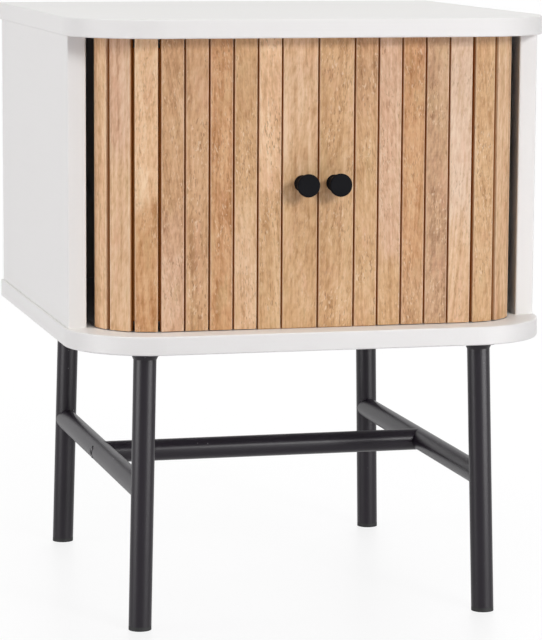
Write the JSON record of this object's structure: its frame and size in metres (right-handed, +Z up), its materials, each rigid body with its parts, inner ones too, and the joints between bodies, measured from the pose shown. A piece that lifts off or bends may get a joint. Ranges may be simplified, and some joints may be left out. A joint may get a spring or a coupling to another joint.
{
  "type": "nightstand",
  "caption": "Nightstand: white cabinet with rounded front corners, sliding slatted wood leaves that run round the corners, turned knobs, on a black tube frame with stretchers.",
  "frame": {"origin": "centre of the bounding box on the floor under the feet", "axes": "+X to the right seen from the front, +Y towards the back, +Z up"},
  "size_m": [0.472, 0.45, 0.5815],
  "materials": {
    "white_lacquer": "white satin lacquer on board",
    "slat_wood": "oiled tropical hardwood with varied figure",
    "dowel_wood": "plain beech",
    "black_coat": "black satin powder coat on steel tube",
    "knob_black": "matte black",
    "foot_plastic": "matte black",
    "backing_cloth": "brown woven cloth",
    "screw_steel": "zinc-plated"
  },
  "bodies": {
    "cabinet": {"top_panel": "white_lacquer", "bottom_panel": "white_lacquer", "left_side_panel": "white_lacquer", "right_side_panel": "white_lacquer", "back_panel": "white_lacquer", "panel_dowels": "dowel_wood", "back_screws": "screw_steel", "plate_screws": "screw_steel", "left_side_stretcher": "black_coat", "right_side_stretcher": "black_coat", "cross_stretcher": "black_coat", "stretcher_inserts": "screw_steel", "stretcher_bolts": "black_coat", "left_front_leg": "black_coat", "left_front_foot": "foot_plastic", "left_front_leg_plate": "black_coat", "left_rear_leg": "black_coat", "left_rear_foot": "foot_plastic", "left_rear_leg_plate": "black_coat", "right_front_leg": "black_coat", "right_front_foot": "foot_plastic", "right_front_leg_plate": "black_coat", "right_rear_leg": "black_coat", "right_rear_foot": "foot_plastic", "right_rear_leg_plate": "black_coat"},
    "left_lead": {"left_lead_slat": "slat_wood", "left_backing": "backing_cloth", "left_knob": "knob_black", "left_knob_screw": "screw_steel"},
    "left_slat_1": {"left_slat_1": "slat_wood"},
    "left_slat_2": {"left_slat_2": "slat_wood"},
    "left_slat_3": {"left_slat_3": "slat_wood"},
    "left_slat_4": {"left_slat_4": "slat_wood"},
    "left_slat_5": {"left_slat_5": "slat_wood"},
    "left_slat_6": {"left_slat_6": "slat_wood"},
    "left_slat_7": {"left_slat_7": "slat_wood"},
    "left_slat_8": {"left_slat_8": "slat_wood"},
    "right_lead": {"right_lead_slat": "slat_wood", "right_backing": "backing_cloth", "right_knob": "knob_black", "right_knob_screw": "screw_steel"},
    "right_slat_1": {"right_slat_1": "slat_wood"},
    "right_slat_2": {"right_slat_2": "slat_wood"},
    "right_slat_3": {"right_slat_3": "slat_wood"},
    "right_slat_4": {"right_slat_4": "slat_wood"},
    "right_slat_5": {"right_slat_5": "slat_wood"},
    "right_slat_6": {"right_slat_6": "slat_wood"},
    "right_slat_7": {"right_slat_7": "slat_wood"},
    "right_slat_8": {"right_slat_8": "slat_wood"}
  },
  "joints": [
    {"name": "left_leaf_slide", "type": "slide", "parent": "cabinet", "child": "left_lead", "axis": [-1, 0, 0], "range_m": [0, 0.094], "deforming": ["left_backing"]},
    {"name": "left_slat_1_slide", "type": "slide", "parent": "cabinet", "child": "left_slat_1", "axis": [-1, 0, 0], "range_m": [0, 0.0941]},
    {"name": "left_slat_2_turn", "type": "hinge", "parent": "cabinet", "child": "left_slat_2", "pos_m": [-0.106, 0.18816, 0.425], "axis": [0, 0, -1], "range_deg": [0, 14.19]},
    {"name": "left_slat_3_turn", "type": "hinge", "parent": "cabinet", "child": "left_slat_3", "pos_m": [-0.12175, -0.06721, 0.425], "axis": [0, 0, -1], "range_deg": [0, 42.53]},
    {"name": "left_slat_4_turn", "type": "hinge", "parent": "cabinet", "child": "left_slat_4", "pos_m": [-0.13435, -0.11795, 0.425], "axis": [0, 0, -1], "range_deg": [0, 70.87]},
    {"name": "left_slat_5_turn", "type": "hinge", "parent": "cabinet", "child": "left_slat_5", "pos_m": [-0.14307, -0.13215, 0.425], "axis": [0, 0, -1], "range_deg": [0, 89.58]},
    {"name": "left_slat_6_turn", "type": "hinge", "parent": "cabinet", "child": "left_slat_6", "pos_m": [-0.13378, -0.12552, 0.425], "axis": [0, 0, -1], "range_deg": [0, 75.85]},
    {"name": "left_slat_7_turn", "type": "hinge", "parent": "cabinet", "child": "left_slat_7", "pos_m": [-0.0917, -0.11305, 0.425], "axis": [0, 0, -1], "range_deg": [0, 47.51]},
    {"name": "left_slat_8_turn", "type": "hinge", "parent": "cabinet", "child": "left_slat_8", "pos_m": [0.07767, -0.09863, 0.425], "axis": [0, 0, -1], "range_deg": [0, 19.17]},
    {"name": "right_leaf_slide", "type": "slide", "parent": "cabinet", "child": "right_lead", "axis": [1, 0, 0], "range_m": [0, 0.094], "deforming": ["right_backing"]},
    {"name": "right_slat_1_slide", "type": "slide", "parent": "cabinet", "child": "right_slat_1", "axis": [1, 0, 0], "range_m": [0, 0.0941]},
    {"name": "right_slat_2_turn", "type": "hinge", "parent": "cabinet", "child": "right_slat_2", "pos_m": [0.106, 0.18816, 0.425], "axis": [0, 0, 1], "range_deg": [0, 14.19]},
    {"name": "right_slat_3_turn", "type": "hinge", "parent": "cabinet", "child": "right_slat_3", "pos_m": [0.12175, -0.06721, 0.425], "axis": [0, 0, 1], "range_deg": [0, 42.53]},
    {"name": "right_slat_4_turn", "type": "hinge", "parent": "cabinet", "child": "right_slat_4", "pos_m": [0.13435, -0.11795, 0.425], "axis": [0, 0, 1], "range_deg": [0, 70.87]},
    {"name": "right_slat_5_turn", "type": "hinge", "parent": "cabinet", "child": "right_slat_5", "pos_m": [0.14307, -0.13215, 0.425], "axis": [0, 0, 1], "range_deg": [0, 89.58]},
    {"name": "right_slat_6_turn", "type": "hinge", "parent": "cabinet", "child": "right_slat_6", "pos_m": [0.13378, -0.12552, 0.425], "axis": [0, 0, 1], "range_deg": [0, 75.85]},
    {"name": "right_slat_7_turn", "type": "hinge", "parent": "cabinet", "child": "right_slat_7", "pos_m": [0.0917, -0.11305, 0.425], "axis": [0, 0, 1], "range_deg": [0, 47.51]},
    {"name": "right_slat_8_turn", "type": "hinge", "parent": "cabinet", "child": "right_slat_8", "pos_m": [-0.07767, -0.09863, 0.425], "axis": [0, 0, 1], "range_deg": [0, 19.17]}
  ],
  "couplings": [
    {"joint": "left_slat_1_slide", "follows": "left_leaf_slide", "ratio": 1},
    {"joint": "left_slat_2_turn", "follows": "left_leaf_slide", "rad_per_m": 2.6309},
    {"joint": "left_slat_3_turn", "follows": "left_leaf_slide", "rad_per_m": 7.8927},
    {"joint": "left_slat_4_turn", "follows": "left_leaf_slide", "rad_per_m": 13.155},
    {"joint": "left_slat_5_turn", "follows": "left_leaf_slide", "rad_per_m": 16.628},
    {"joint": "left_slat_6_turn", "follows": "left_leaf_slide", "rad_per_m": 14.08},
    {"joint": "left_slat_7_turn", "follows": "left_leaf_slide", "rad_per_m": 8.8179},
    {"joint": "left_slat_8_turn", "follows": "left_leaf_slide", "rad_per_m": 3.5561},
    {"joint": "right_slat_1_slide", "follows": "right_leaf_slide", "ratio": 1},
    {"joint": "right_slat_2_turn", "follows": "right_leaf_slide", "rad_per_m": 2.6309},
    {"joint": "right_slat_3_turn", "follows": "right_leaf_slide", "rad_per_m": 7.8927},
    {"joint": "right_slat_4_turn", "follows": "right_leaf_slide", "rad_per_m": 13.155},
    {"joint": "right_slat_5_turn", "follows": "right_leaf_slide", "rad_per_m": 16.628},
    {"joint": "right_slat_6_turn", "follows": "right_leaf_slide", "rad_per_m": 14.08},
    {"joint": "right_slat_7_turn", "follows": "right_leaf_slide", "rad_per_m": 8.8179},
    {"joint": "right_slat_8_turn", "follows": "right_leaf_slide", "rad_per_m": 3.5561}
  ]
}
